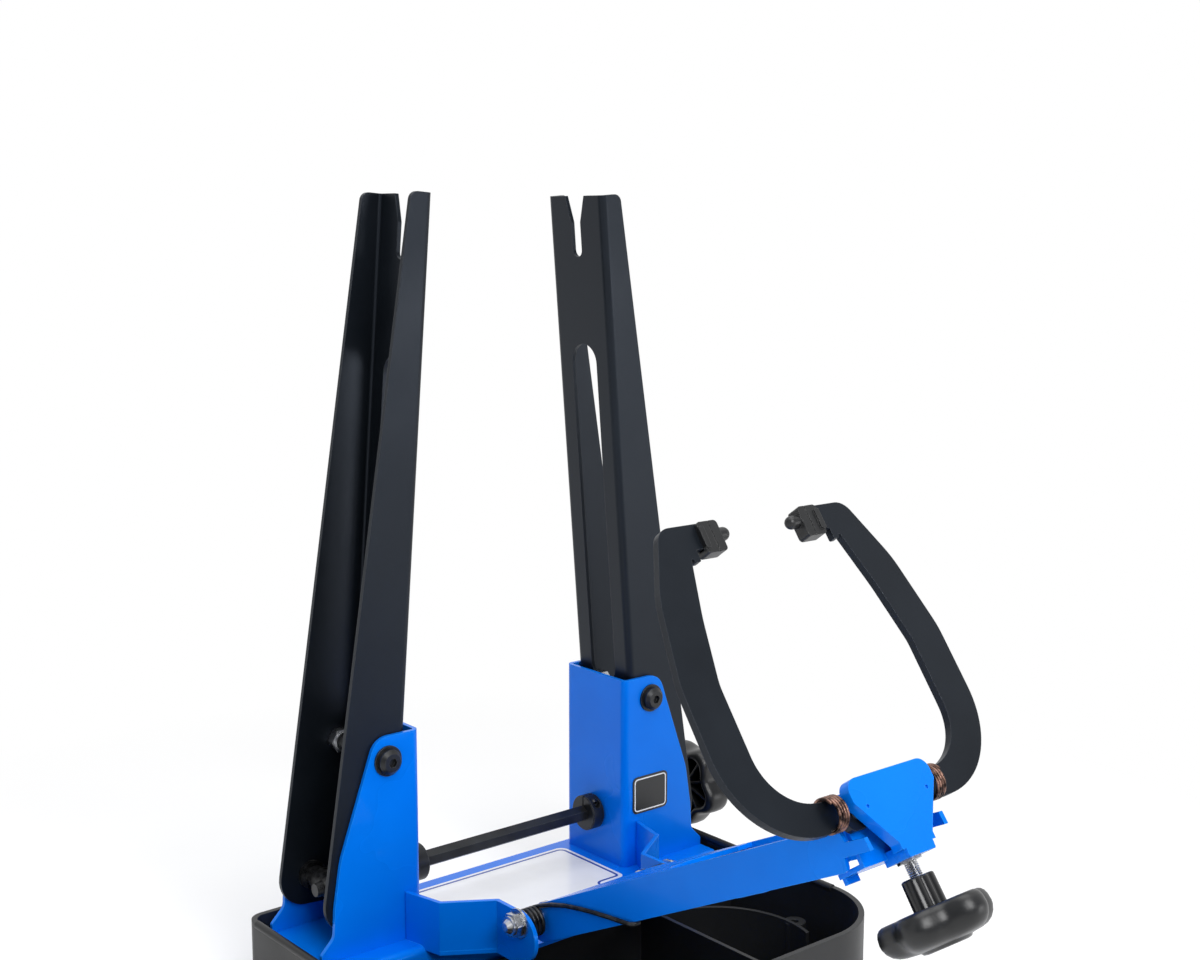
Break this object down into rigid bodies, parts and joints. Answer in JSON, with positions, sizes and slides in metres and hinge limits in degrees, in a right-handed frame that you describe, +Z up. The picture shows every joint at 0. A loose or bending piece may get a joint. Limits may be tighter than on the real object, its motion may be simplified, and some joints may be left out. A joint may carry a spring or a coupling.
{
  "type": "bicycle wheel truing stand",
  "caption": "Bench wheel truing stand with leaning slotted uprights, a spreading screw, and a swinging arm with sprung caliper fingers.",
  "frame": {"origin": "underside of the moulded base, directly below the middle of the wheel axle", "axes": "+X along the wheel axle towards the side with the spreading knob, +Y from the caliper arm to the back, +Z up"},
  "size_m": [0.3964, 0.4943, 0.5718],
  "materials": {
    "tray_plastic": "satin moulded",
    "rubber": "matte",
    "blue_paint": "glossy powder coat",
    "label_film": "satin printed film",
    "badge_film": "satin printed plate",
    "zinc": "zinc plated",
    "black_steel": "black oxide",
    "black_coat": "satin powder coat",
    "knob_plastic": "satin",
    "spring_steel": "black",
    "bronze_wire": "oxidised",
    "pad_plastic": "satin"
  },
  "bodies": {
    "base": {"tray_base": "tray_plastic", "rubber_feet": "rubber", "base_frame": "blue_paint", "left_bracket": "blue_paint", "right_bracket": "blue_paint", "base_label": "label_film", "badge_plate": "badge_film", "base_bolts": "zinc", "pivot_bolts": "black_steel", "pivot_washers": "black_steel", "pivot_nuts": "zinc", "arm_bolts": "zinc", "arm_washers": "zinc", "arm_nuts": "zinc"},
    "left_swing": {"left_upright": "black_coat"},
    "right_swing": {"right_upright": "black_coat"},
    "left_barrel": {"left_trunnion": "zinc"},
    "right_barrel": {"right_trunnion": "zinc"},
    "lift": {"rod_bushes": "zinc"},
    "screw": {"spreading_rod": "black_steel", "rod_sleeve": "black_steel", "clamp_collar": "black_steel", "collar_screw": "black_steel", "rod_knob": "knob_plastic", "knob_plug": "knob_plastic"},
    "arm": {"caliper_arm": "blue_paint", "caliper_carrier": "blue_paint", "caliper_housing": "blue_paint", "caliper_pins": "zinc", "screw_nut": "zinc", "arm_springs": "spring_steel"},
    "left_jaw": {"left_spring": "bronze_wire", "left_caliper": "black_coat", "left_finger_pad": "pad_plastic"},
    "right_jaw": {"right_spring": "bronze_wire", "right_caliper": "black_coat", "right_finger_pad": "pad_plastic"},
    "yoke": {"caliper_plunger": "zinc"},
    "adjuster": {"caliper_screw": "zinc", "knob_boss": "knob_plastic", "caliper_knob": "knob_plastic"}
  },
  "joints": [
    {"name": "spread_turn", "type": "hinge", "parent": "lift", "child": "screw", "pos_m": [0, 0, 0.101], "axis": [1, 0, 0], "range_deg": [-575, 575]},
    {"name": "screw_lift", "type": "slide", "parent": "base", "child": "lift", "axis": [0, 0, 1], "range_m": [-0.0018, 0.0018]},
    {"name": "left_swing_pivot", "type": "hinge", "parent": "base", "child": "left_swing", "pos_m": [-0.118, 0, 0.194], "axis": [0, 1, 0], "range_deg": [-4, 4]},
    {"name": "right_swing_pivot", "type": "hinge", "parent": "base", "child": "right_swing", "pos_m": [0.118, 0, 0.194], "axis": [0, 1, 0], "range_deg": [-3.9, 3.9]},
    {"name": "left_barrel_turn", "type": "hinge", "parent": "left_swing", "child": "left_barrel", "pos_m": [-0.1426, 0, 0.101], "axis": [0, 1, 0], "range_deg": [-4, 4]},
    {"name": "right_barrel_turn", "type": "hinge", "parent": "right_swing", "child": "right_barrel", "pos_m": [0.1426, 0, 0.101], "axis": [0, 1, 0], "range_deg": [-4, 4]},
    {"name": "arm_pivot", "type": "hinge", "parent": "base", "child": "arm", "pos_m": [0, -0.113, 0.091], "axis": [-1, 0, 0], "range_deg": [-12, 35]},
    {"name": "adjuster_turn", "type": "hinge", "parent": "yoke", "child": "adjuster", "pos_m": [0, -0.38304, 0.20409], "axis": [0, 0.5835, 0.8121], "range_deg": [-652, 762]},
    {"name": "yoke_slide", "type": "slide", "parent": "arm", "child": "yoke", "axis": [0, 0.5835, 0.8121], "range_m": [-0.00226, 0.00264]},
    {"name": "left_jaw_pivot", "type": "hinge", "parent": "arm", "child": "left_jaw", "pos_m": [-0.025, -0.37568, 0.23575], "axis": [0, -0.8121, 0.5835], "range_deg": [-7.7, 9]},
    {"name": "right_jaw_pivot", "type": "hinge", "parent": "arm", "child": "right_jaw", "pos_m": [0.025, -0.37568, 0.23575], "axis": [0, -0.8121, 0.5835], "range_deg": [-9, 7.7]}
  ],
  "couplings": [
    {"joint": "screw_lift", "follows": "right_swing_pivot", "m_per_rad": -0.0246},
    {"joint": "spread_turn", "follows": "right_swing_pivot", "ratio": 146.08},
    {"joint": "left_swing_pivot", "follows": "right_swing_pivot", "ratio": -1},
    {"joint": "right_barrel_turn", "follows": "right_swing_pivot", "ratio": -1},
    {"joint": "left_barrel_turn", "follows": "right_swing_pivot", "ratio": 1},
    {"joint": "adjuster_turn", "follows": "yoke_slide", "rad_per_m": 5026.5},
    {"joint": "right_jaw_pivot", "follows": "yoke_slide", "rad_per_m": -58.824},
    {"joint": "left_jaw_pivot", "follows": "yoke_slide", "rad_per_m": 58.824}
  ]
}
